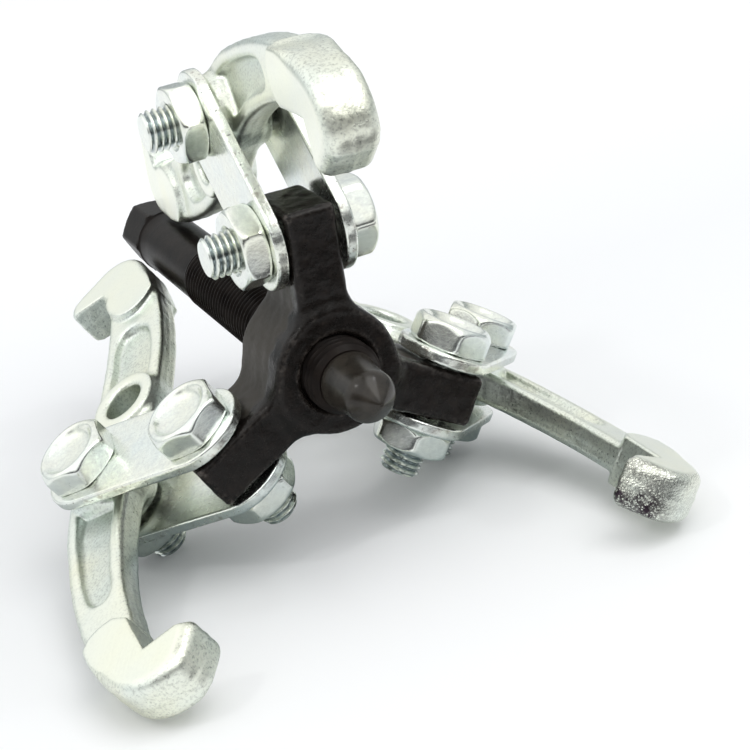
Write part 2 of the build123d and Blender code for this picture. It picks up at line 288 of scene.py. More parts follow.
def revolve(rings, name, world, body, node, attrs=None, closed_loop=False):
    """rings: list of (z, r array over the angle); the first and last are closed by a fan unless the loop closes."""
    N = len(rings[0][1])
    th = np.arange(N) * 2 * math.pi / N
    c, s = np.cos(th), np.sin(th)
    v = np.concatenate([np.stack([r * c, r * s, np.full(N, z) if np.isscalar(z) else z], 1) for z, r in rings])
    faces = []
    R = len(rings)
    top = R if closed_loop else R - 1
    for i in range(top):
        a, b = i * N, ((i + 1) % R) * N
        for j in range(N):
            k = (j + 1) % N
            faces.append((a + j, a + k, b + k, b + j))
    if not closed_loop:
        v = np.vstack([v, [[0, 0, float(np.mean(rings[0][0]))], [0, 0, float(np.mean(rings[-1][0]))]]])
        c0, c1 = len(v) - 2, len(v) - 1
        for j in range(N):
            k = (j + 1) % N
            faces.append((c0, k, j))
            faces.append((c1, (R - 1) * N + j, (R - 1) * N + k))
    return v, faces


def hex_r(th, af, turn_deg, cap, edge=0.35):
    """Radius of a hexagon at angle th with its corners turned down to cap and slightly rounded."""
    a = (th - math.radians(turn_deg) + math.pi / 6) % (math.pi / 3) - math.pi / 6
    # corners at turn_deg: the flat's middle is 30 degrees on
    b = math.pi / 6 - np.abs(a)
    r = (af / 2) / np.cos(b)
    return -smax_arr(-r, -np.full_like(r, cap), edge)


def smax_arr(a, b, k):
    h = np.clip(0.5 - 0.5 * (b - a) / k, 0, 1)
    return b * (1 - h) + a * h + k * h * (1 - h)


# --------------------------------------------------------------- materials
def new_mat(name):
    m = bpy.data.materials.new(name)
    m.use_nodes = True
    nt = m.node_tree
    bsdf = nt.nodes["Principled BSDF"]
    return m, nt, bsdf


def N_(nt, kind, **kw):
    n = nt.nodes.new(kind)
    for k, v in kw.items():
        setattr(n, k, v)
    return n


def coords(nt, scale=(1, 1, 1), seed=0.0, rot=(0, 0, 0)):
    tc = N_(nt, "ShaderNodeAttribute", attribute_name="loc")
    mp = N_(nt, "ShaderNodeMapping")
    mp.inputs["Scale"].default_value = scale
    mp.inputs["Rotation"].default_value = rot
    mp.inputs["Location"].default_value = (seed * 3.17, seed * 1.71, seed * 2.53)
    nt.links.new(tc.outputs["Vector"], mp.inputs["Vector"])
    return mp.outputs["Vector"]


def tex_noise(nt, vec, scale, detail=4.0, rough=0.55, dist=0.0):
    n = N_(nt, "ShaderNodeTexNoise")
    n.inputs["Scale"].default_value = scale
    n.inputs["Detail"].default_value = detail
    n.inputs["Roughness"].default_value = rough
    n.inputs["Distortion"].default_value = dist
    nt.links.new(vec, n.inputs["Vector"])
    return n.outputs["Fac"]


def ramp(nt, fac, stops, mode="LINEAR"):
    r = N_(nt, "ShaderNodeValToRGB")
    r.color_ramp.interpolation = mode
    el = r.color_ramp.elements
    while len(el) < len(stops):
        el.new(0.5)
    for e, (p, c) in zip(el, stops):
        e.position = p
        e.color = (*c, 1) if len(c) == 3 else c
    nt.links.new(fac, r.inputs["Fac"])
    return r.outputs["Color"]


def grey(v):
    return (v, v, v)


def mathn(nt, op, a, b=None, clamp=False):
    n = N_(nt, "ShaderNodeMath", operation=op, use_clamp=clamp)
    for i, x in enumerate((a, b)):
        if x is None:
            continue
        if isinstance(x, (int, float)):
            n.inputs[i].default_value = x
        else:
            nt.links.new(x, n.inputs[i])
    return n.outputs[0]


def mixc(nt, fac, a, b):
    n = N_(nt, "ShaderNodeMix", data_type="RGBA")
    for sock, x in ((n.inputs["Factor"], fac), (n.inputs[6], a), (n.inputs[7], b)):
        if isinstance(x, (int, float)):
            sock.default_value = x
        elif isinstance(x, tuple):
            sock.default_value = (*x, 1)
        else:
            nt.links.new(x, sock)
    return n.outputs[2]


def attr(nt, name):
    a = N_(nt, "ShaderNodeAttribute", attribute_name=name)
    return a.outputs["Fac"]


def bump(nt, height, strength, distance, normal=None):
    b = N_(nt, "ShaderNodeBump")
    b.inputs["Strength"].default_value = strength
    b.inputs["Distance"].default_value = distance
    nt.links.new(height, b.inputs["Height"])
    if normal is not None:
        nt.links.new(normal, b.inputs["Normal"])
    return b.outputs["Normal"]


def zinc(name, seed=0.0, grain=(1, 1, 1), flat_attr=None, pits=0.35, rough=(0.2, 0.36), rust=0.0, dark=1.0, groove_shade=False):
    """Bright zinc plate: metal with a faint blue to straw tint, fine grain, pits, and a little rust in sheared edges."""
    m, nt, b = new_mat(name)
    L = nt.links.new
    v = coords(nt, seed=seed)
    big = tex_noise(nt, v, 90, 3, 0.5)
    col = ramp(nt, big, [(0.30, (0.78 * dark, 0.86 * dark, 0.85 * dark)), (0.50, (0.86 * dark, 0.90 * dark, 0.83 * dark)),
                         (0.70, (0.89 * dark, 0.90 * dark, 0.76 * dark))])
    fine = tex_noise(nt, v, 900, 5, 0.7)
    speck = tex_noise(nt, v, 1500, 3, 0.75)
    mottled = mixc(nt, 0.35, col, ramp(nt, fine, [(0.35, grey(0.62 * dark)), (0.62, (0.93 * dark, 0.95 * dark, 0.88 * dark))]))
    pit = ramp(nt, speck, [(0.30, grey(1.0)), (0.38, grey(0.0))])
    edge = attr(nt, flat_attr) if flat_attr else None
    pit_fac = mathn(nt, "MULTIPLY", pit, pits)
    if edge is not None:
        rough_side = mathn(nt, "SUBTRACT", 1.0, edge, clamp=True)
        pit_fac = mathn(nt, "MULTIPLY", pit_fac, mathn(nt, "ADD", mathn(nt, "MULTIPLY", rough_side, 1.6), 0.25), clamp=True)
    base = mixc(nt, pit_fac, mottled, (0.10, 0.10, 0.10))
    if rust > 0:
        rn = tex_noise(nt, v, 520, 4, 0.6)
        rf = ramp(nt, rn, [(0.56, grey(0.0)), (0.68, grey(1.0))])
        rf = mathn(nt, "MULTIPLY", rf, rust)
        if edge is not None:
            rf = mathn(nt, "MULTIPLY", rf, rough_side, clamp=True)
        base = mixc(nt, rf, base, (0.17, 0.105, 0.07))
    # painted shade: the thread roots are drawn dark blue-grey
    if groove_shade:
        base = mixc(nt, mathn(nt, "MULTIPLY", attr(nt, "groove_shade"), 0.72), base, (0.20, 0.26, 0.29))
    L(base, b.inputs["Base Color"])
    b.inputs["Metallic"].default_value = 1.0
    gr = tex_noise(nt, coords(nt, scale=grain, seed=seed + 1), 700, 3, 0.6)
    rr = N_(nt, "ShaderNodeMapRange")
    rr.inputs["To Min"].default_value = rough[0]
    rr.inputs["To Max"].default_value = rough[1]
    L(mathn(nt, "MULTIPLY", mathn(nt, "ADD", fine, gr), 0.5), rr.inputs["Value"])
    rough_out = rr.outputs["Result"]
    rough_out = mathn(nt, "ADD", rough_out, mathn(nt, "MULTIPLY", pit_fac, 0.4))
    L(rough_out, b.inputs["Roughness"])
    n1 = bump(nt, gr, 0.22, 0.00005)
    n2 = bump(nt, fine, 0.30, 0.00007, n1)
    L(n2, b.inputs["Normal"])
    return m


def forged(name, seed, grain=0.3):
    """The jaws: zinc over a forged skin, milled bright on the flat sides (attribute mill), coarse at the hook's end (tip)."""
    m, nt, b = new_mat(name)
    L = nt.links.new
    v = coords(nt, seed=seed)
    mill = attr(nt, "mill")
    pocket_shade = attr(nt, "pocket_shade")
    tip = attr(nt, "tip")
    big = tex_noise(nt, v, 60, 3, 0.5)
    skin_col = ramp(nt, big, [(0.30, (0.76, 0.83, 0.79)), (0.5, (0.84, 0.88, 0.79)), (0.7, (0.87, 0.88, 0.73))])
    mill_col = ramp(nt, big, [(0.30, (0.90, 0.93, 0.85)), (0.55, (0.94, 0.96, 0.84)), (0.75, (0.95, 0.96, 0.80))])
    base = mixc(nt, mill, skin_col, mill_col)
    fine = tex_noise(nt, v, 1900, 4, 0.7)
    grit = tex_noise(nt, v, 750, 5, 0.72)
    vor = N_(nt, "ShaderNodeTexVoronoi", feature="F1")
    vor.inputs["Scale"].default_value = 2300
    L(v, vor.inputs["Vector"])
    rough_side = mathn(nt, "SUBTRACT", 1.0, mill, clamp=True)
    # grey sand texture of the skin
    sand = ramp(nt, fine, [(0.36, grey(1.0)), (0.52, grey(0.0))])
    pf = mathn(nt, "MULTIPLY", sand, mathn(nt, "ADD", mathn(nt, "MULTIPLY", rough_side, 0.34), 0.04))
    base = mixc(nt, pf, base, (0.16, 0.17, 0.165))
    # painted shade: the recessed pocket floors are drawn darker
    base = mixc(nt, mathn(nt, "MULTIPLY", pocket_shade, 0.16), base, (0.42, 0.45, 0.43))
    # dark, faceted grain at the end of the hook
    speck = ramp(nt, mathn(nt, "ADD", mathn(nt, "MULTIPLY", vor.outputs["Distance"], 0.6), mathn(nt, "MULTIPLY", grit, 0.75)),
                 [(0.54, grey(0.0)), (0.64, grey(1.0))])
    patch = ramp(nt, tex_noise(nt, v, 260, 3, 0.6), [(0.36, grey(0.25)), (0.60, grey(1.0))])
    sx = N_(nt, "ShaderNodeSeparateXYZ")
    L(coords(nt), sx.inputs[0])
    inner = N_(nt, "ShaderNodeMapRange")
    inner.inputs["From Min"].default_value = 0.0585
    inner.inputs["From Max"].default_value = 0.0535
    L(sx.outputs["X"], inner.inputs["Value"])
    where = mathn(nt, "MULTIPLY", mathn(nt, "MULTIPLY", tip, patch), mathn(nt, "ADD", mathn(nt, "MULTIPLY", inner.outputs["Result"], 0.85), 0.10))
    band = N_(nt, "ShaderNodeMapRange")
    band.inputs["From Min"].default_value = -0.0012
    band.inputs["From Max"].default_value = 0.0008
    band.inputs["To Min"].default_value = 1.25
    band.inputs["To Max"].default_value = 0.55
    L(sx.outputs["Z"], band.inputs["Value"])
    where = mathn(nt, "MULTIPLY", where, band.outputs["Result"])
    sf = mathn(nt, "MULTIPLY", speck, mathn(nt, "MULTIPLY", where, 0.95 * grain), clamp=True)
    base = mixc(nt, sf, base, (0.050, 0.036, 0.048))
    L(base, b.inputs["Base Color"])
    b.inputs["Metallic"].default_value = 1.0
    ro = N_(nt, "ShaderNodeMapRange")
    ro.inputs["To Min"].default_value = 0.20
    ro.inputs["To Max"].default_value = 0.42
    L(fine, ro.inputs["Value"])
    rm = N_(nt, "ShaderNodeMapRange")
    rm.inputs["To Min"].default_value = 0.28
    rm.inputs["To Max"].default_value = 0.38
    L(fine, rm.inputs["Value"])
    mixr = N_(nt, "ShaderNodeMix", data_type="FLOAT")
    L(mill, mixr.inputs["Factor"])
    L(ro.outputs["Result"], mixr.inputs[2])
    L(rm.outputs["Result"], mixr.inputs[3])
    L(mathn(nt, "SUBTRACT", mathn(nt, "ADD", mixr.outputs[0], mathn(nt, "MULTIPLY", pocket_shade, 0.12)), mathn(nt, "MULTIPLY", tip, 0.10 * grain)),
      b.inputs["Roughness"])
    marks = tex_noise(nt, coords(nt, scale=(1, 14, 1), seed=seed + 2, rot=(0, 0, 0.35)), 160, 3, 0.6)
    h1 = mathn(nt, "MULTIPLY", marks, mathn(nt, "MULTIPLY", mill, 0.22))
    h2 = mathn(nt, "MULTIPLY", mathn(nt, "ADD", mathn(nt, "MULTIPLY", grit, 0.45), mathn(nt, "MULTIPLY", fine, 0.42)), rough_side)
    h3 = mathn(nt, "MULTIPLY", mathn(nt, "ADD", vor.outputs["Distance"], grit), mathn(nt, "MULTIPLY", tip, 0.55 * grain))
    h = mathn(nt, "ADD", mathn(nt, "ADD", h1, h2), h3)
    L(bump(nt, h, 0.8, 0.00018), b.inputs["Normal"])
    return m


def black_cast(name):
    m, nt, b = new_mat(name)
    L = nt.links.new
    v = coords(nt)
    n1 = tex_noise(nt, v, 420, 5, 0.65)
    n2 = tex_noise(nt, v, 1700, 3, 0.7)
    n3 = tex_noise(nt, v, 70, 2, 0.5)
    side = attr(nt, "turned")
    col = ramp(nt, n1, [(0.3, (0.004, 0.0035, 0.003)), (0.6, (0.009, 0.007, 0.006)), (0.8, (0.020, 0.015, 0.011))])
    brown = ramp(nt, n3, [(0.3, (0.034, 0.030, 0.025)), (0.7, (0.054, 0.048, 0.040))])
    # lighter convex edges: partly edge wear, partly a painted highlight along the rims
    wear_and_sheen = attr(nt, "wear_and_sheen")
    worn_and_sheen = mathn(nt, "MULTIPLY", wear_and_sheen, ramp(nt, tex_noise(nt, v, 1100, 4, 0.7), [(0.42, grey(0.0)), (0.60, grey(0.85))]), clamp=True)
    L(mixc(nt, worn_and_sheen, mixc(nt, side, col, brown), (0.085, 0.074, 0.066)), b.inputs["Base Color"])
    b.inputs["Metallic"].default_value = 0.0
    b.inputs["Specular IOR Level"].default_value = 0.20
    r = N_(nt, "ShaderNodeMapRange")
    r.inputs["To Min"].default_value = 0.08
    r.inputs["To Max"].default_value = 0.34
    L(n2, r.inputs["Value"])
    L(mathn(nt, "ADD", r.outputs["Result"], mathn(nt, "MULTIPLY", side, 0.25)), b.inputs["Roughness"])
    h = mathn(nt, "ADD", mathn(nt, "MULTIPLY", n1, 0.5), mathn(nt, "MULTIPLY", n2, mathn(nt, "ADD", 0.5, mathn(nt, "MULTIPLY", wear_and_sheen, 1.2))))
    h = mathn(nt, "MULTIPLY", h, mathn(nt, "SUBTRACT", 1.0, mathn(nt, "MULTIPLY", side, 0.6)))
    L(bump(nt, h, 0.6, 0.00018), b.inputs["Normal"])
    return m


def oxide(name, base=(0.006, 0.0045, 0.004), light=(0.016, 0.012, 0.010), rough=(0.24, 0.42), rings=False, spec=0.08):
    m, nt, b = new_mat(name)
    L = nt.links.new
    v = coords(nt)
    n1 = tex_noise(nt, v, 220, 4, 0.6)
    n2 = tex_noise(nt, v, 1600, 3, 0.7)
    L(ramp(nt, n1, [(0.32, base), (0.7, light)]), b.inputs["Base Color"])
    b.inputs["Metallic"].default_value = 0.0
    b.inputs["Specular IOR Level"].default_value = spec
    r = N_(nt, "ShaderNodeMapRange")
    r.inputs["To Min"].default_value, r.inputs["To Max"].default_value = rough
    L(n2, r.inputs["Value"])
    L(r.outputs["Result"], b.inputs["Roughness"])
    if rings:
        g = tex_noise(nt, coords(nt, scale=(0.02, 0.02, 6)), 900, 3, 0.6)
        L(bump(nt, g, 0.35, 0.00006, bump(nt, n2, 0.15, 0.00004)), b.inputs["Normal"])
    else:
        L(bump(nt, mathn(nt, "ADD", n1, n2), 0.3, 0.00006), b.inputs["Normal"])
    return m


# --------------------------------------------------------------- yoke
def build_yoke():
    h = 0.42
    (ax, ay, az_), lo = grid((-33.5, -33.5, -11.4), (33.5, 33.5, 11.6), h)
    X, Y = np.meshgrid(ax, ay, indexing="ij")
    Z = az_[None, None, :]
    rho = np.hypot(X, Y)
    hub2 = rho - HUB_R
    # arms as flat-ended bars in the plane across the screw
    arms2 = []
    for name in ("top", "left", "right"):
        a = math.radians(90 + ARMS[name]["az"])
        P = X * math.cos(a) + Y * math.sin(a)
        Q = -X * math.sin(a) + Y * math.cos(a)
        arms2.append((P, Q))
    Zc = (ARM_FRONT - ARM_REAR) / 2
    half = (ARM_FRONT + ARM_REAR) / 2
    body = slab(hub2, Z - (HUB_FRONT - HUB_REAR) / 2, (HUB_FRONT + HUB_REAR) / 2, 1.5)
    for P, Q in arms2:
        dx = np.abs(P - (ARM_END - 1) / 2 - 0.5) - ((ARM_END - 1) / 2 + 0.5)
        dy = np.abs(Q) - ARM_W / 2
        r2 = 1.1
        d2 = np.minimum(np.maximum(dx + r2, dy + r2), 0) + np.hypot(np.maximum(dx + r2, 0), np.maximum(dy + r2, 0)) - r2
        bar = slab(d2, Z - Zc, half, 1.3)
        body = smin(body, bar, 3.6)
    # keep the arms' sides flat where the straps run
    for P, Q in arms2:
        lim = np.where(P > 15.5, np.abs(Q) - ARM_W / 2, -5.0)[..., None] + 0 * Z
        body = np.maximum(body, lim)
    body = smax(body, np.abs(Z - (HUB_FRONT - HUB_REAR) / 2) - (HUB_FRONT + HUB_REAR) / 2 + 0 * X[..., None], 0.4)
    bore = BORE_R - rho[..., None] + 0 * Z
    cham = BORE_R + 0.9 - (HUB_FRONT - Z) - rho[..., None]
    cham2 = BORE_R + 0.9 - (HUB_REAR + Z) - rho[..., None]
    body = np.maximum(body, np.maximum(np.maximum(bore, cham), cham2))
    for P, Q in arms2:
        dh = np.hypot(P[..., None] - PIVOT_R, Z)
        rr = PIVOT_HOLE_R + np.maximum(0, np.abs(Q) - ARM_W / 2 + 0.5)[..., None]
        near = (P > 10)[..., None]
        body = np.where(near, smax(body, rr - dh, 0.25), body)
    v, f = surface_nets(body, lo, h)
    n = normals_of(v, f)
    r = np.hypot(v[:, 0], v[:, 1])
    inner = np.clip((r - BORE_R - 0.3) / 0.8, 0, 1)
    v = roughen(v, f, 0.10, 2.4, 3, inner, 2)
    # the hub's turned rear side is browner than the black front
    n = normals_of(v, f)
    wob = np.array([noise.noise(Vector(p) / 2.2) for p in v])
    t = ease(np.abs(n[:, 2]), 0.5, 0.2) * ease(r, 9.5, 10.5) * ease(r, 21.0, 17.0) * ease(v[:, 2] + 1.2 * wob, 5.4, 4.4)
    # how far each point stands proud of its surroundings, for the lighter edges: partly edge wear, partly a painted
    # highlight
    quads = np.asarray(f)
    a = quads.ravel()
    b = np.roll(quads, -1, axis=1).ravel()
    near = v.copy()
    cnt = np.bincount(np.concatenate([a, b]), minlength=len(v)).astype(float)[:, None]
    for _ in range(3):
        acc = np.zeros_like(near)
        for k in range(3):
            acc[:, k] = np.bincount(a, near[b, k], len(v)) + np.bincount(b, near[a, k], len(v))
        near = acc / np.maximum(cnt, 1)
    wear_and_sheen = ease(((v - near) * n).sum(axis=1), 0.03, 0.16) * inner
    world = matrix(CENTRE, np.array([1.0, 0, 0]), AXIAL)
    ob = make_object("yoke_body", v, f, world, "yoke", "yoke", attrs={"turned": t, "wear_and_sheen": wear_and_sheen})
    ob.data.materials.append(black_cast("yoke_black_cast"))


# --------------------------------------------------------------- jaws
def seg_dist(X, Y, a, b):
    ex, ey = b[0] - a[0], b[1] - a[1]
    t = np.clip(((X - a[0]) * ex + (Y - a[1]) * ey) / (ex * ex + ey * ey), 0, 1)
    return np.hypot(X - a[0] - t * ex, Y - a[1] - t * ey)


def ease(x, lo, hi):
    t = np.clip((x - lo) / (hi - lo), 0, 1)
    return t * t * (3 - 2 * t)


def jaw_mesh(blend=0.9, crown=1.9):
    h = 0.36
    (ax, ay, az_), lo = grid((-74.0, -39.5, -5.9), (61.0, 31.0, 5.9), h)
    X, Y = np.meshgrid(ax, ay, indexing="ij")
    Z = az_[None, None, :]
    arm = catmull(OUTER_EDGE) + catmull(INNER_EDGE)
    d_arm = sd_poly(X, Y, arm)
    tip = [(46.9, -34.8), (46.5, -35.6), (46.6, -36.3), (47.1, -36.8), (48.0, -37.0), (50.6, -37.0)]
    big = [(41.4, -20.9), (45.2, -23.7), (50.2, -27.6)] + tip + catmull(BIG_OUT[::-1])[1:] + catmull(BIG_STEP[::-1])[1:-1]
    d_big = sd_poly(X, Y, big)
    small = [(-56.4, 17.2), (-60.9, 19.0)] + catmull(SMALL_OUT) + [(-56.6, 3.4)] + catmull(SMALL_STEP[::-1])[1:-1]
    d_small = sd_poly(X, Y, small)
    body = slab(d_arm, Z, ARM_T / 2, 1.25)
    for pocket, web in ((POCKET_FRONT, WEB_FRONT), (POCKET_REAR, WEB_REAR)):
        d2 = sd_poly(X, Y, catmull(pocket)) + 0.25
        a = d2[..., None] - 0.35 * (np.abs(Z) - web / 2)
        b = web / 2 - np.abs(Z)
        cut = smax(a, b, 0.9)
        body = smax(body, -cut, 0.6)
    # the hooks' sides stay flat and sharp at the step and in the throat, and round over at the ends
    r_big = 0.35 + crown * ease(np.hypot(X - 43.4, Y + 16.2), 5.0, 11.0) * ease(seg_dist(X, Y, (41.4, -20.9), (50.2, -27.6)), 0.3, 3.2) \
        * ease(seg_dist(X, Y, (50.2, -27.6), (47.6, -33.2)), 0.3, 3.0)
    r_small = 0.35 + 1.5 * ease(np.hypot(X + 53.5, Y - 8.5), 6.0, 12.0) * ease(seg_dist(X, Y, (-60.9, 19.0), (-58.9, 25.6)), 0.3, 2.6)
    for d2, t, r in ((d_big, PAD_BIG, r_big), (d_small, PAD_SMALL, r_small)):
        body = smin(body, slab(d2, Z, t / 2, r[..., None]), blend)
    for x, t in ((0.0, BOSS_T), (-JAW_HOLE_PITCH, SPARE_T)):
        d2 = np.hypot(X - x, Y) - BOSS_R
        body = smin(body, slab(d2, Z, t / 2, 0.6), 1.6)
    for x, t in ((0.0, BOSS_T), (-JAW_HOLE_PITCH, SPARE_T)):
        rr = JAW_HOLE_R + np.maximum(0, np.abs(Z) - t / 2 + 0.55)
        body = smax(body, rr - np.hypot(X - x, Y)[..., None], 0.2)
    v, f = surface_nets(body, lo, h)
    n = normals_of(v, f)
    pad = (np.abs(v[:, 2]) > 4.1) & (np.abs(n[:, 2]) > 0.93)
    armside = (np.abs(v[:, 2]) > 2.72) & (np.abs(n[:, 2]) > 0.93) & ~pad
    mill = np.where(pad, 1.0, np.where(armside, 0.75, 0.0))
    # the recessed pocket floors, which get painted shade and more roughness
    pocket_shade = ((np.abs(v[:, 2]) < 2.3) & (np.abs(n[:, 2]) > 0.7)).astype(float)
    # spread the masks a little
    for _ in range(2):
        for arr in (mill, pocket_shade):
            s = arr[f].mean(1)
            acc = np.zeros(len(v))
            c = np.zeros(len(v))
            for i in range(4):
                np.add.at(acc, f[:, i], s)
                np.add.at(c, f[:, i], 1)
            arr[:] = acc / np.maximum(c, 1)
    hole = np.minimum(np.hypot(v[:, 0], v[:, 1]), np.hypot(v[:, 0] + JAW_HOLE_PITCH, v[:, 1]))
    keep = np.clip((hole - JAW_HOLE_R - 0.2) / 0.8, 0, 1)
    # the end of the large hook, and the low ridge that the forging dies leave round its middle
    tip_m = ease(seg_dist(v[:, 0], v[:, 1], (58.9, -28.6), (50.0, -37.2)), 6.5, 2.0) * (1 - mill)
    ridge = np.exp(-(v[:, 2] / 0.55) ** 2) * (1 - mill) * keep * (hole > BOSS_R + 1)
    v = v + n * (0.14 * ridge)[:, None] * (0.35 + 0.65 * tip_m[:, None])
    return v, f, mill, pocket_shade, keep, tip_m


def build_jaws():
    crisp = jaw_mesh()
    soft = jaw_mesh(2.4, 2.3)
    grain = {"top": 0.05, "left": 0.10, "right": 1.0}
    for i, (name, arm) in enumerate(ARMS.items()):
        v0, f, mill, pocket_shade, keep, tip_m = soft if name == "top" else crisp
        v = roughen(v0, f, 0.07, 2.6, 11 + 7 * i, keep * (1 - 0.93 * mill), 2)
        o, s, z = jaw_axes(arm)
        ob = make_object(name + "_jaw_forging", v, f, matrix(o, s, z), name + "_jaw", name + "_jaw",
                         attrs={"mill": mill, "pocket_shade": pocket_shade, "tip": tip_m})
        ob.data.materials.append(forged(name + "_jaw_zinc", 1.0 + i, grain[name]))


# --------------------------------------------------------------- straps
def strap_mesh():
    h = 0.28
    (ax, ay, az_), lo = grid((-10.2, -10.2, -1.2 - 3 * h), (PITCH + 10.2, 10.2, 1.2 + 3 * h), h)
    X, Y = np.meshgrid(ax, ay, indexing="ij")
    Z = az_[None, None, :]
    dx = np.abs(X - PITCH / 2) - PITCH / 2
    d2 = np.hypot(np.maximum(dx, 0), Y) - STRAP_R
    # a sheared edge: rounded over on the outer side, a small break on the inner one
    a = d2[..., None]
    t = STRAP_T / 2
    up = slab(d2, Z, t, 0.5)
    dn = slab(d2, Z, t, 0.2)
    body = np.where(Z > 0, up, dn)
    for x in (0.0, PITCH):
        rr = STRAP_HOLE_R + np.maximum(0, np.abs(Z) - t + 0.3)
        body = smax(body, rr - np.hypot(X - x, Y)[..., None], 0.15)
    v, f = surface_nets(body, lo, h)
    n = normals_of(v, f)
    face = np.clip((np.abs(n[:, 2]) - 0.55) / 0.35, 0, 1)
    return v, f, face


def build_links():
    sv, sf, face = strap_mesh()
    hole = np.minimum(np.hypot(sv[:, 0], sv[:, 1]), np.hypot(sv[:, 0] - PITCH, sv[:, 1]))
    keep = np.clip((hole - STRAP_HOLE_R - 0.2) / 0.6, 0, 1)
    mats = {}
    for i, (name, arm) in enumerate(ARMS.items()):
        o, u, z = link_axes(arm)
        body = name + "_link"
        for side, sgn in (("head_side", 1), ("nut_side", -1)):
            v = sv.copy()
            edge = keep * (1 - face)
            v = roughen(v, sf, 0.028, 0.9, 31 + 5 * i + sgn, edge, 2)
            c = o + z * sgn * (STRAP_GAP / 2 + STRAP_T / 2)
            w = matrix(c, u, z) if sgn > 0 else matrix(c, u, -z)
            node = f"{name}_strap_{side}"
            ob = make_object(node + "_plate", v, sf, w, body, node, attrs={"face": face})
            ob.data.materials.append(zinc(node + "_zinc", seed=3 + i * 2 + sgn, grain=(0.12, 1, 1), flat_attr="face", pits=0.5,
                                          rough=(0.18, 0.34), rust=0.45))
        far = o + u * PITCH
        ht = HEX[name]
        for what, c, hb, hn in (("yoke", o, ht[0], ht[1]), ("jaw", far, ht[2], ht[3])):
            build_bolt(f"{name}_{what}_bolt", c, u, z, body, hb, i)
            build_nut(f"{name}_{what}_nut", c, u, z, body, hn, i)


def thread(z, th, crest, depth, pitch, hand=-1):
    """Radius of a V thread with flat crests at height z and angle th."""
    ph = (z / pitch - hand * th / (2 * math.pi)) % 1.0
    tri = np.abs(ph - 0.5) * 2
    return crest - depth * np.clip((1 - tri - 0.16) / 0.72, 0, 1)


def build_bolt(node, c, u, z, body, ht, seed):
    N = 96
    th = np.arange(N) * 2 * math.pi / N
    top = STRAP_GAP / 2 + STRAP_T
    one = np.ones(N)
    cap = HEX_AF / 2 + 0.95
    rings = []
    H = BOLT_HEAD
    # dish in the head, from its middle to the rim
    for r, zz in ((0.4, H - 1.5), (3.4, H - 1.5), (4.3, H - 1.42), (4.9, H - 1.1), (5.4, H - 0.55), (5.75, H - 0.16), (6.0, H - 0.02), (6.25, H)):
        rings.append((top + zz, r * one))
    hx = lambda cp: hex_r(th, HEX_AF, ht, cp)
    for cp, zz in ((6.55, H - 0.05), (6.8, H - 0.16), (7.05, H - 0.34), (7.3, H - 0.55), (7.55, H - 0.80), (7.8, H - 1.1), (cap, H - 1.5), (cap, H - 2.6), (cap, 1.1), (cap, 0.55), (7.75, 0.32), (7.5, 0.18), (7.2, 0.06), (6.9, 0.0)):
        rings.append((top + zz, np.minimum(hx(cp), cp)))
    for r in (5.6, 4.15, 3.98):
        rings.append((top - 0.0, r * one))
    tz0, tz1 = top - 12.0, top - BOLT_LEN
    rings.append((top - 1.0, 3.98 * one))
    rings.append((tz0 + 1.3, 3.98 * one))
    step = 1.25 / 10
    n = int((tz0 - tz1) / step)
    for i in range(n + 1):
        zz = tz0 - i * step
        dep = 0.72 * min(1, i * step / 1.6)
        r = thread(zz, th, 4.0, dep, 1.25, hand=-1)
        r = np.minimum(r, 4.0 - max(0.0, 0.8 - (zz - tz1)))
        rings.append((zz, r))
    rings.append((tz1, 3.0 * one))
    rings.append((tz1, 1.2 * one))
    v, f = revolve(rings[::-1], None, None, None, None)
    rr = np.hypot(v[:, 0], v[:, 1])
    # the thread roots, which get painted shade
    groove_shade = ease(rr, 3.85, 3.4) * (v[:, 2] < tz0) * (v[:, 2] > tz1 + 0.3)
    ob = make_object(node + "_m8", v, f, matrix(c, u, z), body, node, attrs={"groove_shade": groove_shade})
    sharpen(ob, 32)
    ob.data.materials.append(zinc(node + "_zinc", seed=20 + seed, grain=(1, 1, 1), pits=0.25, rough=(0.14, 0.30), groove_shade=True))
    return ob


def build_nut(node, c, u, z, body, ht, seed):
    N = 96
    th = np.arange(N) * 2 * math.pi / N
    t0 = -STRAP_GAP / 2 - STRAP_T - NUT_T
    one = np.ones(N)
    rings = []
    T = NUT_T
    hx = lambda cp: hex_r(th, HEX_AF, ht, cp)
    cap = HEX_AF / 2 + 1.02
    seq = [(6.75, 0.0), (6.95, 0.06), (7.2, 0.2), (7.45, 0.38), (7.7, 0.62), (cap, 1.0), (cap, 1.6), (cap, T - 1.6), (cap, T - 1.0), (7.7, T - 0.62), (7.45, T - 0.38), (7.2, T - 0.2),
           (6.95, T - 0.06), (6.75, T)]
    for cp, zz in seq:
        rings.append((t0 + zz, np.minimum(hx(cp), cp)))
    for r, zz in ((5.4, T), (4.55, T), (4.25, T - 0.3), (NUT_HOLE_R, T - 0.55), (NUT_HOLE_R, 0.6), (4.25, 0.32), (4.75, 0.0), (5.8, 0.0)):
        rings.append((t0 + zz, r * one))
    v, f = revolve(rings, None, None, None, None, closed_loop=True)
    ob = make_object(node + "_m8", v, f, matrix(c, u, z), body, node)
    sharpen(ob, 32)
    ob.data.materials.append(zinc(node + "_zinc", seed=40 + seed, grain=(1, 1, 1), pits=0.25, rough=(0.12, 0.28)))
    return ob


def sharpen(ob, deg):
    """Crisp edges above an angle, smooth below."""
    me = ob.data
    import bmesh
    bm = bmesh.new()
    bm.from_mesh(me)
    bm.normal_update()
    lim = math.radians(deg)
    for e in bm.edges:
        if len(e.link_faces) == 2:
            e.smooth = e.calc_face_angle(0) < lim
    bm.to_mesh(me)
    bm.free()


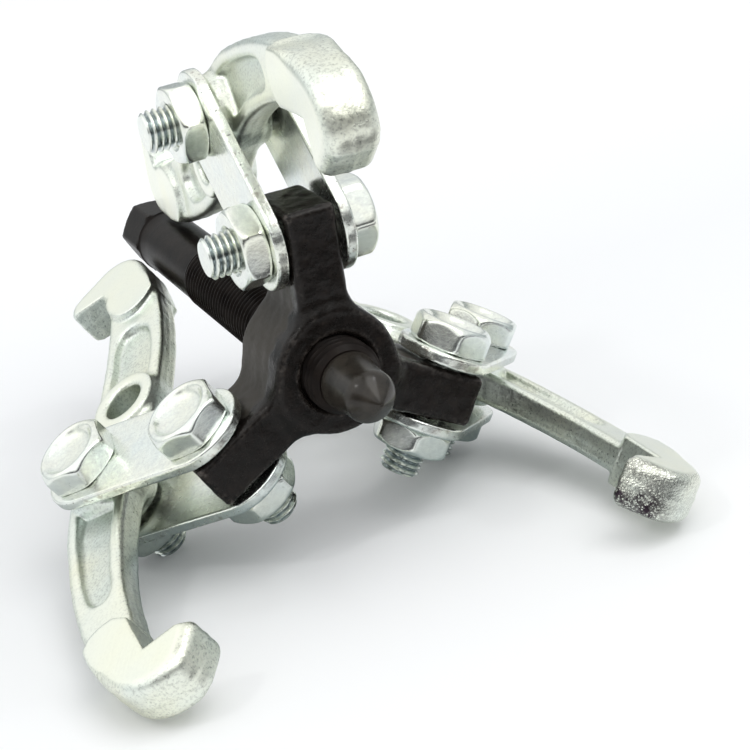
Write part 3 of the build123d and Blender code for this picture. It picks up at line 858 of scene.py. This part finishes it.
# --------------------------------------------------------------- screw and its point
def build_screw():
    N = 96
    th = np.arange(N) * 2 * math.pi / N
    one = np.ones(N)
    rings = []
    # spigot inside the pressure point
    rings.append((SCREW_FRONT + SPIGOT_L, 1.2 * one))
    rings.append((SCREW_FRONT + SPIGOT_L, 2.6 * one))
    rings.append((SCREW_FRONT + SPIGOT_L - 0.4, SPIGOT_R * one))
    rings.append((SCREW_FRONT, SPIGOT_R * one))
    rings.append((SCREW_FRONT, 5.4 * one))
    step = SCREW_PITCH / 10
    z0, z1 = SCREW_FRONT, -NECK_START
    n = int((z0 - z1) / step)
    for i in range(n + 1):
        zz = z0 - i * step
        dep = 0.86 * min(1.0, max(0.25, i * step / 1.2)) * min(1.0, max(0.0, (zz - z1 - 0.2) / 2.0))
        r = thread(zz, th, SCREW_R, dep, SCREW_PITCH, hand=-1)
        r = np.minimum(r, SCREW_R - max(0.0, 1.35 - (z0 - zz)))
        if zz - z1 < 0.6:
            r = np.minimum(r, NECK_R + (zz - z1) / 0.6 * (SCREW_R - NECK_R))
        rings.append((zz, r))
    rings.append((-NECK_START - 0.3, NECK_R * one))
    for k in range(1, 8):
        rings.append((-NECK_START - 0.3 - (HEAD_NEAR - NECK_START - 1.1) * k / 7, NECK_R * one))
    rings.append((-HEAD_NEAR + 0.25, (NECK_R + 0.12) * one))
    rings.append((-HEAD_NEAR, (NECK_R + 0.3) * one))
    hx = lambda cp: hex_r(th, HEAD_AF, -3, cp, 0.2)
    L = HEAD_FAR - HEAD_NEAR
    for cp, zz in ((6.62, 0.0), (6.85, 0.25), (HEAD_R, 0.7), (HEAD_R, 1.6), (HEAD_R, L - 2.0), (HEAD_R, L - 0.9), (6.9, L - 0.45), (6.5, L - 0.1), (6.1, L)):
        rings.append((-HEAD_NEAR - zz, np.minimum(hx(cp), cp)))
    for r, zz in ((2.4, L), (1.6, L - 0.2), (0.4, L - 1.6)):
        rings.append((-HEAD_NEAR - zz, r * one))
    v, f = revolve(rings[::-1], None, None, None, None)
    world = matrix(CENTRE, np.array([1.0, 0, 0]), AXIAL)
    ob = make_object("forcing_screw_m14", v, f, world, "forcing_screw", "forcing_screw")
    sharpen(ob, 38)
    ob.data.materials.append(oxide("screw_oxide"))


def build_point():
    N = 96
    one = np.ones(N)
    prof = [(POINT_BASE + 0.0, SPIGOT_R + 0.05), (POINT_BASE + 0.0, 4.2), (POINT_BASE + 0.0, 5.2), (POINT_BASE + 0.14, 5.45), (POINT_BASE + 0.5, 5.62)]
    z_sh = POINT_SHOULDER - 1.0
    for k in range(1, 13):
        t = k / 12
        z = POINT_BASE + 0.5 + (z_sh - POINT_BASE - 0.5) * t
        r = 5.62 + (POINT_R1 - 5.62) * (1 - (1 - t) ** 1.5)
        prof.append((z, r))
    # rounded shoulder and domed, slightly pointed end
    prof += [(23.1, 4.80), (23.5, 4.62), (23.9, 4.38), (24.3, 4.06), (24.8, 3.58), (25.3, 3.06), (25.8, 2.50), (26.3, 1.92), (26.8, 1.30), (27.15, 0.85), (27.4, 0.5), (27.52, 0.2)]
    inner = [(POINT_BASE + SPIGOT_L + 0.2, 1.0), (POINT_BASE + SPIGOT_L + 0.2, SPIGOT_R + 0.05)]
    rings = [(z, r * one) for z, r in inner + prof]
    v, f = revolve(rings, None, None, None, None)
    world = matrix(CENTRE, np.array([1.0, 0, 0]), AXIAL)
    ob = make_object("screw_point_turned", v, f, world, "pressure_point", "screw_point")
    sharpen(ob, 50)
    ob.data.materials.append(oxide("point_oxide", base=(0.012, 0.010, 0.008), light=(0.036, 0.031, 0.025), rough=(0.12, 0.26), rings=True, spec=0.34))


build_yoke()
build_jaws()
build_links()
build_screw()
build_point()

# --------------------------------------------------------------- floor, light, camera
def build_stage():
    me = bpy.data.meshes.new("floor")
    s = 3.0
    me.from_pydata([(-s, -s, 0), (s, -s, 0), (s, s, 0), (-s, s, 0)], [], [(0, 1, 2, 3)])
    fl = bpy.data.objects.new("floor", me)
    bpy.context.scene.collection.objects.link(fl)
    fl.location.z = 0.0
    m, nt, b = new_mat("floor_white")
    tc = N_(nt, "ShaderNodeTexCoord")
    n = tex_noise(nt, tc.outputs["Object"], 2.0, 2, 0.5)
    nt.links.new(ramp(nt, n, [(0.3, (0.905, 0.925, 0.95)), (0.7, (0.93, 0.94, 0.95))]), b.inputs["Base Color"])
    b.inputs["Roughness"].default_value = 0.85
    b.inputs["Specular IOR Level"].default_value = 0.1
    # painted reflection: the table ends in front of the object, which only the metal shows, so for glossy rays the
    # floor there is drawn near black
    lp = N_(nt, "ShaderNodeLightPath")
    sp = N_(nt, "ShaderNodeSeparateXYZ")
    nt.links.new(tc.outputs["Object"], sp.inputs[0])
    fy = N_(nt, "ShaderNodeMapRange")
    fy.inputs["From Min"].default_value = -0.070
    fy.inputs["From Max"].default_value = -0.110
    nt.links.new(sp.outputs["Y"], fy.inputs["Value"])
    fx = N_(nt, "ShaderNodeMapRange")
    fx.inputs["From Min"].default_value = 0.17
    fx.inputs["From Max"].default_value = 0.12
    nt.links.new(mathn(nt, "ABSOLUTE", mathn(nt, "SUBTRACT", sp.outputs["X"], 0.14)), fx.inputs["Value"])
    fac = mathn(nt, "MULTIPLY", mathn(nt, "MULTIPLY", fy.outputs["Result"], fx.outputs["Result"]), lp.outputs["Is Glossy Ray"], clamp=True)
    end = N_(nt, "ShaderNodeMapRange")
    end.inputs["From Min"].default_value = -0.205
    end.inputs["From Max"].default_value = -0.178
    nt.links.new(sp.outputs["Y"], end.inputs["Value"])
    fac = mathn(nt, "MULTIPLY", fac, end.outputs["Result"])
    # painted shadow: for glossy rays the floor near the object is drawn dark teal
    rad = N_(nt, "ShaderNodeVectorMath", operation="LENGTH")
    nt.links.new(tc.outputs["Object"], rad.inputs[0])
    under = N_(nt, "ShaderNodeMapRange")
    under.inputs["From Min"].default_value = 0.085
    under.inputs["From Max"].default_value = 0.045
    nt.links.new(rad.outputs["Value"], under.inputs["Value"])
    under_shadow_fac = mathn(nt, "MULTIPLY", mathn(nt, "MULTIPLY", under.outputs["Result"], 0.75), lp.outputs["Is Glossy Ray"], clamp=True)
    # painted light: the floor glows, more strongly towards the back
    far = N_(nt, "ShaderNodeMapRange")
    far.inputs["From Min"].default_value = 0.08
    far.inputs["From Max"].default_value = 0.34
    far.inputs["To Max"].default_value = 0.16
    nt.links.new(sp.outputs["Y"], far.inputs["Value"])
    b.inputs["Emission Color"].default_value = (1, 1, 1, 1)
    nt.links.new(far.outputs["Result"], b.inputs["Emission Strength"])
    old = b.inputs["Base Color"].links[0].from_socket
    shaded = mixc(nt, under_shadow_fac, old, (0.16, 0.22, 0.23))
    nt.links.new(mixc(nt, fac, shaded, (0.05, 0.05, 0.055)), b.inputs["Base Color"])
    me.materials.append(m)


def area(name, loc, target, size, power, color=(1, 1, 1), size_y=None):
    li = bpy.data.lights.new(name, "AREA")
    li.shape = "RECTANGLE" if size_y else "SQUARE"
    li.size = size
    if size_y:
        li.size_y = size_y
    li.energy = power
    li.color = color
    ob = bpy.data.objects.new(name, li)
    bpy.context.scene.collection.objects.link(ob)
    ob.location = loc
    d = Vector(target) - Vector(loc)
    ob.rotation_euler = d.to_track_quat("-Z", "Y").to_euler()
    return ob


build_stage()
area("key_front", (0.20, -0.42, 0.80), (0, 0.02, 0.02), 0.55, 1.9, (1.0, 0.995, 0.975))
area("spark_left", (-0.55, -0.25, 0.75), (0, 0, 0.04), 0.07, 0.50, (1.0, 1.0, 0.97))
area("spark_right", (0.50, -0.30, 0.80), (0, 0, 0.04), 0.06, 0.36, (0.97, 0.98, 1.0))

w = bpy.data.worlds.new("studio")
bpy.context.scene.world = w
w.use_nodes = True
nt = w.node_tree
bg = nt.nodes["Background"]
tc = nt.nodes.new("ShaderNodeTexCoord")
sep = nt.nodes.new("ShaderNodeSeparateXYZ")
nt.links.new(tc.outputs["Generated"], sep.inputs[0])
sky = ramp(nt, sep.outputs["Z"], [(0.0, (0.30, 0.34, 0.35)), (0.15, (0.48, 0.52, 0.53)), (0.33, (0.84, 0.86, 0.86)), (0.52, (1.0, 1.01, 1.0)),
                                  (0.80, (1.06, 1.06, 1.05)), (1.0, (1.12, 1.12, 1.10))])
neg = mathn(nt, "MULTIPLY", sep.outputs["X"], -1.0)
left = ramp(nt, neg, [(0.0, grey(0.0)), (0.9, grey(0.42))])
add = nt.nodes.new("ShaderNodeMix")
add.data_type = "RGBA"
add.blend_type = "ADD"
add.inputs["Factor"].default_value = 1.0
nt.links.new(sky, add.inputs[6])
nt.links.new(left, add.inputs[7])
# the open, unlit front of the light tent
dot = nt.nodes.new("ShaderNodeVectorMath")
dot.operation = "DOT_PRODUCT"
dot.inputs[1].default_value = (-0.30, -0.954, 0.0)
nt.links.new(tc.outputs["Generated"], dot.inputs[0])
wide = ramp(nt, dot.outputs["Value"], [(0.30, grey(0.0)), (0.64, grey(1.0))], "EASE")
low = ramp(nt, sep.outputs["Z"], [(0.26, grey(1.0)), (0.52, grey(0.0))], "EASE")
gap = mathn(nt, "MULTIPLY", wide, low)
reflected = mixc(nt, gap, add.outputs[2], (0.03, 0.03, 0.035))
# what lights matt surfaces is a plain soft dome, strongest from above and in front
dome = mathn(nt, "ADD", mathn(nt, "MULTIPLY", sep.outputs["Z"], 0.44), mathn(nt, "MULTIPLY", sep.outputs["Y"], -0.40))
dome = mathn(nt, "ADD", dome, 0.60)
dome = mathn(nt, "MAXIMUM", dome, 0.05)
lp = nt.nodes.new("ShaderNodeLightPath")
nt.links.new(mixc(nt, lp.outputs["Is Glossy Ray"], dome, reflected), bg.inputs["Color"])
bg.inputs["Strength"].default_value = 0.95

scene = bpy.context.scene
scene.view_settings.view_transform = "Standard"
scene.view_settings.look = "None"
scene.view_settings.exposure = 0.0

cam = bpy.data.cameras.new("camera")
cam.sensor_width = 36.0
cam.lens = 36.0 * 1819.285 / 750.0
cam.clip_start, cam.clip_end = 0.01, 20.0
cam.dof.use_dof = False
co = bpy.data.objects.new("camera", cam)
scene.collection.objects.link(co)
right = np.array([0.896181, -0.411375, -0.166222])
up = np.array([0.295677, 0.274402, 0.915030])
back = np.cross(right, up)
cm = np.eye(4)
cm[:3, 0], cm[:3, 1], cm[:3, 2] = right, up, back
cm[:3, 3] = np.array([-101.606968, -322.870479, 157.185558]) * MM
co.matrix_world = Matrix(cm.tolist())
scene.camera = co

bpy.context.view_layer.update()
